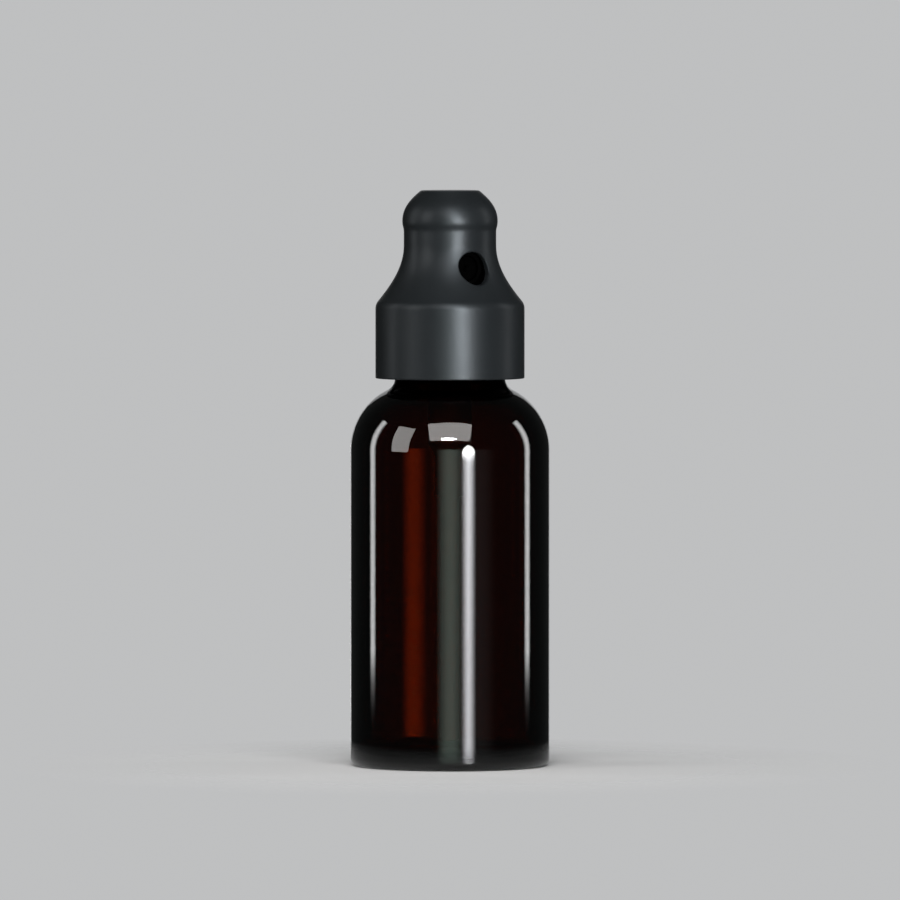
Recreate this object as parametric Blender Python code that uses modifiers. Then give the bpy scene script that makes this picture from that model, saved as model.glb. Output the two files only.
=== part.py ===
"""A 30 ml boston round bottle in amber glass, with the fine-mist spray pump that is screwed on it.

Metres, +Z up. The bottle stands on the origin and its front faces -Y. Every piece is turned about
the bottle's axis, which is also the axis of every joint, so each piece has its origin on that axis.
"""

import math

import bmesh
import bpy
from mathutils import Vector
from mathutils.geometry import interpolate_bezier

# Bottle body
BODY_DIAMETER = 0.0330
SHOULDER_START = 0.0524
SHOULDER_ROUND = 0.0111
HEEL_ROUND = 0.0012
BASE_RING_WIDTH = 0.0030
PUSH_UP = 0.0009
GLASS_WALL = 0.0021
BASE_THICKNESS = 0.0023
INNER_HEEL_ROUND = 0.0018

# Bottle neck and its screw finish, the common 20-400 size
NECK_DIAMETER = 0.0183
NECK_FILLET = 0.0022
NECK_BORE = 0.0126
INNER_NECK_FILLET = 0.0020
NECK_STEP = 0.0004
LIP_ROUND = 0.0004
LIP_ABOVE_SHOULDER = 0.0113
THREAD_ROOT_DIAMETER = 0.0175
THREAD_HEIGHT = 0.0010
THREAD_PITCH = 0.003175
THREAD_TURNS = 1.1
THREAD_BELOW_LIP = 0.0012

# Clearances
SEAT_GAP = 0.0003
FIT_GAP = 0.00015
SLIDE_GAP = 0.0003
THREAD_GAP = 0.0002

# Screw closure
CLOSURE_WALL = 0.0009
CLOSURE_DECK = 0.0008
CLOSURE_RIM_LIFT = 0.0006
CLOSURE_CHAMFER = 0.0020
CLOSURE_RIDGE = 0.0006
CLOSURE_RIDGE_SINK = 0.00035
DOG_LENGTH = 0.0012
DOG_THICKNESS = 0.0012
DOG_HEIGHT = 0.0041

# Pump stroke and travel of the two valves
STROKE = 0.0022
STOP_GAP = 0.0003
OUTLET_LIFT = 0.0005
INLET_LIFT = 0.0008

# Pump housing, gasket and turret
FLANGE_THICKNESS = 0.0008
FLANGE_OVERLAP = 0.0021
GASKET_THICKNESS = 0.0008
BARREL_RADIUS = 0.0042
BARREL_DEPTH = 0.0052
HOUSING_WALL = 0.0007
CYLINDER_BORE = 0.0056
CYLINDER_WALL = 0.0008
VENT_DIAMETER = 0.0006
VENT_ABOVE_PISTON = 0.0012
TURRET_CAP = 0.0009
TURRET_LAND = 0.0004
TURRET_PLUG_DEPTH = 0.0048
TURRET_BORE_GAP = 0.0004
STEM_SEAL_THICKNESS = 0.0006

# Stem, piston and springs
STEM_DIAMETER = 0.0032
STEM_BORE = 0.0014
STEM_SKIRT_DIAMETER = 0.0046
STEM_SKIRT_WALL = 0.00055
STEM_SKIRT_LENGTH = 0.0082
STEM_ROOF = 0.0014
PISTON_LIP = 0.0011
PISTON_BODY = 0.0010
PISTON_SPIGOT = 0.0010
PISTON_NECK = 0.0021
PISTON_BORE = 0.0010
MAIN_SPRING_LENGTH = 0.0080
MAIN_SPRING_DIAMETER = 0.0044
MAIN_SPRING_WIRE = 0.0005
MAIN_SPRING_TURNS = 7
VALVE_SPRING_LENGTH = 0.0030
VALVE_SPRING_DIAMETER = 0.0026
VALVE_SPRING_WIRE = 0.0003
VALVE_SPRING_TURNS = 5.5
PIN_COLLAR = 0.0006
PIN_SHAFT_DIAMETER = 0.0011
PIN_TIP_DIAMETER = 0.0004

# Inlet valve and dip tube
BALL_DIAMETER = 0.00238
BALL_SEAT_GAP = 0.0001
INLET_DIAMETER = 0.0013
RETAINER_THICKNESS = 0.0008
RETAINER_HOLES = 4
RETAINER_HOLE_DIAMETER = 0.0010
TUBE_DIAMETER = 0.0030
TUBE_WALL = 0.00055
TUBE_SOCKET_DEPTH = 0.0058
TUBE_SOCKET_WALL = 0.00075
TUBE_ABOVE_FLOOR = 0.0010
TUBE_END_SLANT = 20.0

# Spray head: heights are above the foot of its core
SHELL_WALL = 0.0012
HEAD_HEIGHT = 0.0163
TOP_FLAT_DIAMETER = 0.0096
TOP_SLOPE = 40.0
DOME_DIAMETER = 0.0158
DOME_HEIGHT = 0.0112
DOME_FOOT_HEIGHT = 0.0093
WAIST_DIAMETER = 0.0153
WAIST_FOOT_HEIGHT = 0.0072
FLARE_ANGLE = 39.0
CROWN_PULL = 0.0020
DOME_PULL = 0.0022
TUCK_PULL = 0.0009
FLARE_PULL = 0.0035
SHELL_EDGE_ROUND = 0.0021
SHELL_EDGE_DROP = 0.0033
SKIRT_GAP = 0.00015
PILLAR_DIAMETER = 0.0062
PILLAR_CORE_DIAMETER = 0.0038
PILLAR_CORE_HEIGHT = 0.0069
SOCKET_DEPTH = 0.0032
FIN_START = 0.0025
RISER_DIAMETER = 0.0012
FIN_THICKNESS = 0.0012

# Nozzle: distances along its bore are from the bottle's axis
NOZZLE_BEARING = 29.5
NOZZLE_HEIGHT = 0.00345
RECESS_DIAMETER = 0.0055
RECESS_FLOOR = 0.0056
BOSS_WALL = 0.00075
BOSS_START = 0.0005
INSERT_DIAMETER = 0.0040
INSERT_LENGTH = 0.0023
INSERT_WALL = 0.00065
INSERT_FACE = 0.0007
INSERT_FLOOR = 0.00285
POST_DIAMETER = 0.0021
ORIFICE_DIAMETER = 0.0004
ORIFICE_FLARE = 0.0012
FEED_DIAMETER = 0.0007

# Number of sides of round pieces, by their size
LARGE_SIDES = 40
MEDIUM_SIDES = 24
SMALL_SIDES = 20
FINE_SIDES = 14
THREAD_STEPS = 30
COIL_STEPS = 10

# Radii that follow from the sizes above
BODY_RADIUS = BODY_DIAMETER / 2
NECK_RADIUS = NECK_DIAMETER / 2
BORE_RADIUS = NECK_BORE / 2
ROOT_RADIUS = THREAD_ROOT_DIAMETER / 2
THREAD_RADIUS = ROOT_RADIUS + THREAD_HEIGHT
CLOSURE_BORE = THREAD_RADIUS + THREAD_GAP
CLOSURE_RADIUS = CLOSURE_BORE + CLOSURE_WALL
SKIRT_BORE = CLOSURE_RADIUS + SLIDE_GAP
SKIRT_RADIUS = SKIRT_BORE + SHELL_WALL
FLANGE_RADIUS = BORE_RADIUS + FLANGE_OVERLAP
BARREL_OUTER = BARREL_RADIUS + HOUSING_WALL
CYLINDER_RADIUS = CYLINDER_BORE / 2
CYLINDER_OUTER = CYLINDER_RADIUS + CYLINDER_WALL
TURRET_CAP_RADIUS = BARREL_RADIUS + TURRET_LAND
TURRET_PLUG_RADIUS = BARREL_RADIUS - FIT_GAP
STEM_RADIUS = STEM_DIAMETER / 2
STEM_SKIRT_RADIUS = STEM_SKIRT_DIAMETER / 2
VALVE_CHAMBER_RADIUS = STEM_SKIRT_RADIUS - STEM_SKIRT_WALL
TUBE_RADIUS = TUBE_DIAMETER / 2
TUBE_SOCKET_RADIUS = TUBE_RADIUS + FIT_GAP
BALL_RADIUS = BALL_DIAMETER / 2


def arc(centre, radius, start, end, steps):
    """Points on an arc between two angles, in degrees from the outward direction."""
    angles = [math.radians(start + (end - start) * i / steps) for i in range(steps + 1)]
    return [(centre[0] + radius * math.cos(a), centre[1] + radius * math.sin(a)) for a in angles]


def sweep(start, start_pull, end, end_pull, steps):
    """Points on one smooth curve that leaves start along start_pull and arrives along end_pull."""
    start, end = Vector(start), Vector(end)
    leaving, arriving = start + Vector(start_pull), end - Vector(end_pull)
    points = interpolate_bezier(start, leaving, arriving, end, steps + 1)
    return [(point.x, point.y) for point in points]


def inward(outline, distance):
    """An outline moved into its material, square to the line through each point's neighbours."""
    moved = []
    for i, (radius, height) in enumerate(outline):
        before = Vector(outline[max(i - 1, 0)])
        after = Vector(outline[min(i + 1, len(outline) - 1)])
        along = (after - before).normalized()
        moved.append((radius + along.y * distance, height - along.x * distance))
    return moved


def crown(edge, foot, rise, steps):
    """Points on a shallow crown, from its middle out to its edge."""
    shares = [i / steps for i in range(steps + 1)]
    return [(edge * share, foot + rise * (1 - share**2)) for share in shares]


def shoulder_outline(wall, neck_radius, fillet, steps):
    """The shoulder from the neck down to the body wall, a wall's thickness inside the outer one."""
    centre = (BODY_RADIUS - SHOULDER_ROUND, SHOULDER_START)
    radius = SHOULDER_ROUND - wall
    reach = neck_radius + fillet - centre[0]
    rise = math.sqrt((radius + fillet) ** 2 - reach**2)
    meeting = math.degrees(math.atan2(rise, reach))
    fillet_centre = (neck_radius + fillet, centre[1] + rise)
    neck = arc(fillet_centre, fillet, 180, 180 + meeting, max(2, steps // 3))
    return neck + arc(centre, radius, meeting, 0, steps)[1:]


def shoulder_height(radius):
    """Height of the glass shoulder at a distance from the axis."""
    reach = radius - (BODY_RADIUS - SHOULDER_ROUND)
    return SHOULDER_START + math.sqrt(SHOULDER_ROUND**2 - reach**2)


# Levels of the stack on the bottle's lip, from the lip up to the spray head
NECK_Z = shoulder_outline(0, NECK_RADIUS, NECK_FILLET, 1)[0][1]
LIP_Z = shoulder_height(SKIRT_BORE) + LIP_ABOVE_SHOULDER
THREAD_FOOT_Z = LIP_Z - THREAD_BELOW_LIP - THREAD_HEIGHT - THREAD_PITCH * THREAD_TURNS
GASKET_Z = LIP_Z + SEAT_GAP
FLANGE_Z = GASKET_Z + GASKET_THICKNESS + SEAT_GAP
FLANGE_TOP_Z = FLANGE_Z + FLANGE_THICKNESS
DECK_Z = FLANGE_TOP_Z + SEAT_GAP
DECK_TOP_Z = DECK_Z + CLOSURE_DECK
TURRET_Z = FLANGE_TOP_Z + SEAT_GAP
HEAD_Z = TURRET_Z + TURRET_CAP + STOP_GAP + STROKE
SKIRT_Z = shoulder_height(SKIRT_BORE) + STROKE + SKIRT_GAP
NOZZLE_Z = HEAD_Z + NOZZLE_HEIGHT

# Levels inside the pump, from the turret down to the dip tube
STEM_SEAL_Z = TURRET_Z - FIT_GAP - STEM_SEAL_THICKNESS
STEM_SHOULDER_Z = STEM_SEAL_Z - SEAT_GAP
STEM_ROOF_Z = STEM_SHOULDER_Z - STEM_ROOF
STEM_FOOT_Z = STEM_SHOULDER_Z - STEM_SKIRT_LENGTH
STEM_TOP_Z = HEAD_Z + SOCKET_DEPTH - SEAT_GAP
PISTON_TOP_Z = STEM_FOOT_Z - SEAT_GAP
PISTON_SEAT_Z = PISTON_TOP_Z + PISTON_NECK + SEAT_GAP
PISTON_FOOT_Z = PISTON_TOP_Z - PISTON_LIP - PISTON_BODY
MAIN_SPRING_Z = PISTON_FOOT_Z - SEAT_GAP - MAIN_SPRING_LENGTH
RETAINER_Z = MAIN_SPRING_Z - SEAT_GAP - RETAINER_THICKNESS
LEDGE_Z = RETAINER_Z - SEAT_GAP
BALL_Z = RETAINER_Z - FIT_GAP - INLET_LIFT - BALL_RADIUS
SEAT_APEX_Z = BALL_Z - (BALL_RADIUS + BALL_SEAT_GAP) * math.sqrt(2)
INLET_Z = SEAT_APEX_Z + INLET_DIAMETER / 2
TUBE_SOCKET_Z = INLET_Z - HOUSING_WALL
TAIL_Z = TUBE_SOCKET_Z - TUBE_SOCKET_DEPTH
TUBE_FOOT_Z = BASE_THICKNESS + PUSH_UP + TUBE_ABOVE_FLOOR
VALVE_SPRING_Z = STEM_ROOF_Z - FIT_GAP - VALVE_SPRING_LENGTH
PIN_COLLAR_Z = VALVE_SPRING_Z - FIT_GAP - PIN_COLLAR

# The way that the nozzle points, and the two ways square to it
NOZZLE_TURN = math.radians(NOZZLE_BEARING - 90)
NOZZLE_WAY = Vector((math.cos(NOZZLE_TURN), math.sin(NOZZLE_TURN), 0))
FIN_TURNS = (NOZZLE_TURN + math.pi / 2, NOZZLE_TURN - math.pi / 2)


def clear_scene():
    for thing in list(bpy.data.objects):
        bpy.data.objects.remove(thing, do_unlink=True)
    for group in list(bpy.data.collections):
        bpy.data.collections.remove(group)


def collection(name):
    group = bpy.data.collections.new(name)
    bpy.context.scene.collection.children.link(group)
    return group


clear_scene()
PIECES = collection("boston_round_spray_bottle")
CUTTERS = collection("cutters")


def material(name, colour, roughness, metallic=0.0, transmission=0.0):
    made = bpy.data.materials.new(name)
    made.use_nodes = True
    shader = made.node_tree.nodes["Principled BSDF"]
    shader.inputs["Base Color"].default_value = (*colour, 1.0)
    shader.inputs["Roughness"].default_value = roughness
    shader.inputs["Metallic"].default_value = metallic
    shader.inputs["Transmission Weight"].default_value = transmission
    return made


AMBER_GLASS = material("amber_glass", (0.20, 0.045, 0.008), 0.03, transmission=1.0)
CHARCOAL_SHELL = material("charcoal_shell", (0.035, 0.040, 0.046), 0.42, metallic=0.4)
BLACK_PLASTIC = material("black_plastic", (0.012, 0.012, 0.013), 0.40)
BLACK_CLOSURE = material("black_closure", (0.018, 0.018, 0.020), 0.45)
CLEAR_HOUSING = material("translucent_housing", (0.74, 0.76, 0.76), 0.35)
CLEAR_TUBE = material("translucent_tube", (0.80, 0.82, 0.82), 0.30)
WHITE_TURRET = material("white_turret", (0.78, 0.78, 0.76), 0.40)
WHITE_STEM = material("white_stem", (0.82, 0.82, 0.80), 0.38)
SOFT_PISTON = material("soft_piston", (0.86, 0.86, 0.83), 0.50)
VALVE_PLASTIC = material("valve_plastic", (0.55, 0.60, 0.66), 0.40)
RETAINER_PLASTIC = material("retainer_plastic", (0.70, 0.70, 0.68), 0.45)
FOAM_GASKET = material("foam_gasket", (0.62, 0.62, 0.60), 0.85)
SEAL_RUBBER = material("seal_rubber", (0.05, 0.05, 0.05), 0.70)
SPRING_STEEL = material("spring_steel", (0.62, 0.61, 0.59), 0.25, metallic=1.0)
BALL_STEEL = material("ball_steel", (0.70, 0.70, 0.69), 0.12, metallic=1.0)


def add_object(name, data, finish, group):
    piece = bpy.data.objects.new(name, data)
    group.objects.link(piece)
    if finish:
        data.materials.append(finish)
    if group is CUTTERS:
        piece.hide_render = True
        piece.display_type = "WIRE"
    return piece


def as_mesh(source, finish, group):
    """A mesh object with the shape that a curve or a modified object has, in its place."""
    bpy.context.view_layer.update()
    graph = bpy.context.evaluated_depsgraph_get()
    mesh = bpy.data.meshes.new_from_object(source.evaluated_get(graph))
    welded = bmesh.new()
    welded.from_mesh(mesh)
    bmesh.ops.remove_doubles(welded, verts=welded.verts, dist=1e-7)
    welded.to_mesh(mesh)
    welded.free()
    mesh.shade_smooth()
    mesh.set_sharp_from_angle(angle=math.radians(35))
    name, place = source.name, source.matrix_world.copy()
    bpy.data.objects.remove(source, do_unlink=True)
    mesh.materials.clear()
    piece = add_object(name, mesh, finish, group)
    piece.matrix_world = place
    return piece


def turned(name, outline, datum, sides, finish=None, group=None):
    """An outline of (radius, height) points turned about the axis. Its origin is at the datum."""
    group = group or PIECES
    mesh = bpy.data.meshes.new(name)
    points = [(radius, 0, height - datum) for radius, height in outline]
    edges = [(i, i + 1) for i in range(len(points) - 1)]
    if outline[0][0] > 0:
        edges.append((len(points) - 1, 0))
    mesh.from_pydata(points, edges, [])
    piece = add_object(name, mesh, None, group)
    piece.location = (0, 0, datum)
    turn = piece.modifiers.new("Turn", "SCREW")
    turn.steps = turn.render_steps = sides
    turn.use_merge_vertices = True
    turn.merge_threshold = 1e-6
    return as_mesh(piece, finish, group)


def along_nozzle(piece):
    """Lay a piece that was turned upright along the nozzle's bore."""
    piece.location = (0, 0, NOZZLE_Z)
    piece.rotation_euler = NOZZLE_WAY.to_track_quat("Z", "Y").to_euler()
    return piece


def rod(name, radius, start, end, sides, place=(0, 0, 0), group=None):
    """A cylinder along its own Z, between two distances from its origin."""
    mesh = bpy.data.meshes.new(name)
    shape = bmesh.new()
    bmesh.ops.create_cone(
        shape, cap_ends=True, segments=sides, radius1=radius, radius2=radius, depth=end - start
    )
    bmesh.ops.translate(shape, verts=shape.verts, vec=(0, 0, (start + end) / 2))
    shape.to_mesh(mesh)
    shape.free()
    mesh.shade_smooth()
    mesh.set_sharp_from_angle(angle=math.radians(35))
    piece = add_object(name, mesh, None, group or CUTTERS)
    piece.location = place
    return piece


def block(name, low, high, turn=0.0):
    """A box between two corners, turned about the bottle's axis."""
    mesh = bpy.data.meshes.new(name)
    shape = bmesh.new()
    bmesh.ops.create_cube(shape, size=1)
    size = [b - a for a, b in zip(low, high)]
    middle = [(a + b) / 2 for a, b in zip(low, high)]
    bmesh.ops.scale(shape, verts=shape.verts, vec=size)
    bmesh.ops.translate(shape, verts=shape.verts, vec=middle)
    shape.to_mesh(mesh)
    shape.free()
    piece = add_object(name, mesh, None, CUTTERS)
    piece.rotation_euler = (0, 0, turn)
    return piece


def combine(piece, operation, *others):
    """Join other shapes to a piece, cut them out of it, or keep what lies inside them."""
    for other in others:
        step = piece.modifiers.new(other.name, "BOOLEAN")
        step.operation = operation
        step.object = other


def helix(name, radius, thickness, start, rise_at, turns, steps, finish, group, thin_ends=0.0):
    """A round section swept along a helix. rise_at gives the height after a number of turns."""
    data = bpy.data.curves.new(name, "CURVE")
    data.dimensions = "3D"
    data.bevel_depth = thickness / 2
    data.bevel_resolution = 1
    data.resolution_u = 1
    data.render_resolution_u = 0
    data.use_fill_caps = True
    data.twist_mode = "Z_UP"
    count = round(turns * steps)
    spline = data.splines.new("POLY")
    spline.points.add(count)
    for i, point in enumerate(spline.points):
        turned_by = turns * i / count
        angle = math.tau * turned_by
        height = rise_at(turned_by)
        point.co = (radius * math.cos(angle), radius * math.sin(angle), height, 1)
        if thin_ends:
            point.radius = min(1.0, 0.2 + min(turned_by, turns - turned_by) / thin_ends)
    piece = add_object(name, data, None, group)
    piece.location = (0, 0, start)
    return as_mesh(piece, finish, group)


def thread(name, radius, thickness, start, turns):
    """A rounded screw thread that runs out to nothing at both ends."""
    return helix(
        name, radius, thickness, start, lambda turned_by: THREAD_PITCH * turned_by, turns,
        THREAD_STEPS, None, CUTTERS, thin_ends=0.08,
    )


def spring(name, diameter, wire, length, turns, start, end_gap):
    """A compression spring whose first and last turns lie almost closed."""
    closed = wire + end_gap
    open_pitch = (length - wire - 2 * closed) / (turns - 2)

    def rise_at(turned_by):
        first = min(turned_by, 1)
        last = max(turned_by - (turns - 1), 0)
        return wire / 2 + closed * (first + last) + open_pitch * (turned_by - first - last)

    radius = (diameter - wire) / 2
    return helix(name, radius, wire, start, rise_at, turns, COIL_STEPS, SPRING_STEEL, PIECES)


def carrier(name, height, parent=None):
    """An empty on the joint axis that a group of pieces moves with."""
    empty = bpy.data.objects.new(name, None)
    PIECES.objects.link(empty)
    empty.empty_display_size = 0.004
    empty.location = (0, 0, height)
    if parent:
        attach(empty, parent)
    return empty


def attach(piece, parent):
    """Parent a piece and leave it where it is."""
    bpy.context.view_layer.update()
    piece.parent = parent
    piece.matrix_parent_inverse = parent.matrix_world.inverted()


def make_bottle():
    """The glass bottle: one turned wall from the cavity floor over the lip to the base."""
    floor_radius = BODY_RADIUS - GLASS_WALL - INNER_HEEL_ROUND
    ring_outer = BODY_RADIUS - HEEL_ROUND
    ring_inner = ring_outer - BASE_RING_WIDTH
    floor = crown(floor_radius, BASE_THICKNESS, PUSH_UP, 2)
    heel_centre = (floor_radius, BASE_THICKNESS + INNER_HEEL_ROUND)
    inner_heel = arc(heel_centre, INNER_HEEL_ROUND, -90, 0, 4)
    inner_shoulder = shoulder_outline(GLASS_WALL, BORE_RADIUS, INNER_NECK_FILLET, 6)[::-1]
    inner_lip = arc((BORE_RADIUS + LIP_ROUND, LIP_Z - LIP_ROUND), LIP_ROUND, 180, 90, 2)
    outer_lip = arc((ROOT_RADIUS - LIP_ROUND, LIP_Z - LIP_ROUND), LIP_ROUND, 90, 0, 2)
    neck_foot = NECK_Z + NECK_STEP
    neck_step = [(ROOT_RADIUS, neck_foot + NECK_RADIUS - ROOT_RADIUS), (NECK_RADIUS, neck_foot)]
    outer_shoulder = shoulder_outline(0, NECK_RADIUS, NECK_FILLET, 10)
    heel = arc((ring_outer, HEEL_ROUND), HEEL_ROUND, 0, -90, 4)
    base = crown(ring_inner, 0, PUSH_UP, 3)[::-1]
    inside = floor + inner_heel[1:] + inner_shoulder + inner_lip
    outside = outer_lip + neck_step + outer_shoulder + heel + base
    bottle = turned("bottle", inside + outside, 0, LARGE_SIDES, AMBER_GLASS)
    ridge = thread("bottle_thread", ROOT_RADIUS, 2 * THREAD_HEIGHT, THREAD_FOOT_Z, THREAD_TURNS)
    combine(bottle, "UNION", ridge)


def make_closure(parent):
    """The screw closure hidden in the skirt, with the dogs that the head turns it by."""
    foot = NECK_Z + CLOSURE_RIM_LIFT
    corner = DECK_TOP_Z - CLOSURE_CHAMFER
    inner_corner = FLANGE_RADIUS + SLIDE_GAP
    outline = [
        (TURRET_CAP_RADIUS + SLIDE_GAP, DECK_TOP_Z),
        (CLOSURE_RADIUS - CLOSURE_CHAMFER, DECK_TOP_Z),
        (CLOSURE_RADIUS, corner - CLOSURE_CHAMFER / 2),
        (CLOSURE_RADIUS, foot),
        (CLOSURE_BORE, foot),
        (CLOSURE_BORE, DECK_Z - CLOSURE_CHAMFER),
        (inner_corner, DECK_Z),
        (TURRET_CAP_RADIUS + SLIDE_GAP, DECK_Z),
    ]
    closure = turned("closure", outline, DECK_Z, LARGE_SIDES, BLACK_CLOSURE)
    ridge_radius = CLOSURE_BORE - CLOSURE_RIDGE + CLOSURE_RIDGE_SINK
    ridge_foot = THREAD_FOOT_Z - THREAD_PITCH / 2
    ridge = thread("closure_thread", ridge_radius, 2 * CLOSURE_RIDGE, ridge_foot, THREAD_TURNS)
    combine(closure, "UNION", ridge)
    dog_start = TURRET_CAP_RADIUS + 2 * SLIDE_GAP
    near = FIN_THICKNESS / 2 + SLIDE_GAP
    for number, turn in enumerate(FIN_TURNS):
        for side, label in ((1, "left"), (-1, "right")):
            edges = sorted((side * near, side * (near + DOG_THICKNESS)))
            low = (dog_start, edges[0], DECK_TOP_Z - CLOSURE_DECK / 2)
            high = (dog_start + DOG_LENGTH, edges[1], DECK_TOP_Z + DOG_HEIGHT)
            combine(closure, "UNION", block(f"drive_dog_{number + 1}_{label}", low, high, turn))
    attach(closure, parent)


def make_gasket(parent):
    """The flat foam ring between the bottle's lip and the pump's flange."""
    top = GASKET_Z + GASKET_THICKNESS
    inner = BARREL_OUTER + SEAT_GAP
    outline = [(FLANGE_RADIUS, top), (FLANGE_RADIUS, GASKET_Z), (inner, GASKET_Z), (inner, top)]
    attach(turned("gasket", outline, GASKET_Z, LARGE_SIDES, FOAM_GASKET), parent)


def make_housing(parent):
    """The pump body: flange, barrel, cylinder, ball seat and the socket for the dip tube."""
    barrel_foot = FLANGE_TOP_Z - BARREL_DEPTH
    cylinder_top = barrel_foot - (BARREL_RADIUS - CYLINDER_RADIUS) / 2
    pocket = BALL_RADIUS + SLIDE_GAP
    pocket_foot = SEAT_APEX_Z + pocket
    tail = TUBE_SOCKET_RADIUS + TUBE_SOCKET_WALL
    outside = [
        (FLANGE_RADIUS, FLANGE_TOP_Z),
        (FLANGE_RADIUS, FLANGE_Z),
        (BARREL_OUTER, FLANGE_Z),
        (BARREL_OUTER, barrel_foot - HOUSING_WALL),
        (CYLINDER_OUTER, cylinder_top - CYLINDER_WALL),
        (CYLINDER_OUTER, LEDGE_Z - CYLINDER_WALL),
        (tail, INLET_Z),
        (tail, TAIL_Z),
    ]
    inside = [
        (TUBE_SOCKET_RADIUS, TAIL_Z),
        (TUBE_SOCKET_RADIUS, TUBE_SOCKET_Z),
        (INLET_DIAMETER / 2, TUBE_SOCKET_Z),
        (INLET_DIAMETER / 2, INLET_Z),
        (pocket, pocket_foot),
        (pocket, LEDGE_Z),
        (CYLINDER_RADIUS, LEDGE_Z),
        (CYLINDER_RADIUS, cylinder_top),
        (BARREL_RADIUS, barrel_foot),
        (BARREL_RADIUS, FLANGE_TOP_Z),
    ]
    housing = turned("pump_housing", outside + inside, FLANGE_Z, MEDIUM_SIDES, CLEAR_HOUSING)
    vent_place = (0, 0, PISTON_TOP_Z + VENT_ABOVE_PISTON)
    vent_end = BARREL_OUTER + CYLINDER_WALL
    vent = rod("vent", VENT_DIAMETER / 2, 0, vent_end, FINE_SIDES, vent_place)
    vent.rotation_euler = (0, math.pi / 2, 0)
    combine(housing, "DIFFERENCE", vent)
    attach(housing, parent)


def make_turret(parent):
    """The snap-in retainer that keeps the stem in the housing and guides it."""
    plug_foot = TURRET_Z - TURRET_PLUG_DEPTH
    guide = STEM_RADIUS + SLIDE_GAP
    chamber = STEM_SKIRT_RADIUS + TURRET_BORE_GAP
    top = TURRET_Z + TURRET_CAP
    outline = [
        (TURRET_CAP_RADIUS - LIP_ROUND, top),
        (TURRET_CAP_RADIUS, top - LIP_ROUND),
        (TURRET_CAP_RADIUS, TURRET_Z),
        (TURRET_PLUG_RADIUS, TURRET_Z),
        (TURRET_PLUG_RADIUS, plug_foot),
        (chamber, plug_foot),
        (chamber, TURRET_Z),
        (guide, TURRET_Z),
        (guide, top),
    ]
    attach(turned("turret", outline, TURRET_Z, MEDIUM_SIDES, WHITE_TURRET), parent)
    seal_outer = chamber - FIT_GAP
    seal_inner = STEM_RADIUS + FIT_GAP
    seal_top = STEM_SEAL_Z + STEM_SEAL_THICKNESS
    seal = [(seal_outer, seal_top), (seal_outer, STEM_SEAL_Z), (seal_inner, STEM_SEAL_Z),
            (seal_inner, seal_top)]
    attach(turned("stem_seal", seal, STEM_SEAL_Z, MEDIUM_SIDES, SEAL_RUBBER), parent)


def make_inlet_valve(parent, ball_parent):
    """The steel ball on its cone seat, and the holed disc above that keeps it there."""
    mesh = bpy.data.meshes.new("inlet_ball")
    shape = bmesh.new()
    bmesh.ops.create_uvsphere(shape, u_segments=12, v_segments=8, radius=BALL_RADIUS)
    shape.to_mesh(mesh)
    shape.free()
    mesh.shade_smooth()
    ball = add_object("inlet_ball", mesh, BALL_STEEL, PIECES)
    ball.location = (0, 0, BALL_Z)
    attach(ball, ball_parent)
    radius = CYLINDER_RADIUS - FIT_GAP
    top = RETAINER_Z + RETAINER_THICKNESS
    disc = [(0, top), (radius, top), (radius, RETAINER_Z), (0, RETAINER_Z)]
    retainer = turned("ball_retainer", disc, RETAINER_Z, SMALL_SIDES, RETAINER_PLASTIC)
    hole_circle = BALL_RADIUS + RETAINER_HOLE_DIAMETER / 4
    for number in range(RETAINER_HOLES):
        angle = math.tau * (number + 0.5) / RETAINER_HOLES
        place = (hole_circle * math.cos(angle), hole_circle * math.sin(angle), RETAINER_Z)
        name = f"retainer_hole_{number + 1}"
        reach = 2 * RETAINER_THICKNESS
        hole = rod(name, RETAINER_HOLE_DIAMETER / 2, -reach, reach, FINE_SIDES, place)
        combine(retainer, "DIFFERENCE", hole)
    attach(retainer, parent)


def make_dip_tube(parent):
    """The soft tube that hangs from the housing to just above the floor, cut slanting at its end."""
    top = TUBE_SOCKET_Z - SEAT_GAP
    inner = TUBE_RADIUS - TUBE_WALL
    outline = [(TUBE_RADIUS, top), (TUBE_RADIUS, TUBE_FOOT_Z), (inner, TUBE_FOOT_Z), (inner, top)]
    tube = turned("dip_tube", outline, TUBE_FOOT_Z, SMALL_SIDES, CLEAR_TUBE)
    reach = 2 * TUBE_DIAMETER
    knife = block("dip_tube_knife", (-reach, -reach, -reach), (reach, reach, 0))
    knife.location = (0, 0, TUBE_FOOT_Z + TUBE_RADIUS * math.tan(math.radians(TUBE_END_SLANT)))
    knife.rotation_euler = (math.radians(TUBE_END_SLANT), 0, 0)
    combine(tube, "DIFFERENCE", knife)
    attach(tube, parent)


def make_stem(parent):
    """The hollow stem that carries the spray up, and its skirt that holds the outlet valve."""
    outline = [
        (STEM_RADIUS, STEM_TOP_Z),
        (STEM_RADIUS, STEM_SHOULDER_Z),
        (STEM_SKIRT_RADIUS, STEM_SHOULDER_Z),
        (STEM_SKIRT_RADIUS, STEM_FOOT_Z),
        (VALVE_CHAMBER_RADIUS, STEM_FOOT_Z),
        (VALVE_CHAMBER_RADIUS, STEM_ROOF_Z),
        (STEM_BORE / 2, STEM_ROOF_Z),
        (STEM_BORE / 2, STEM_TOP_Z),
    ]
    attach(turned("stem", outline, STEM_SHOULDER_Z, SMALL_SIDES, WHITE_STEM), parent)


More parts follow.
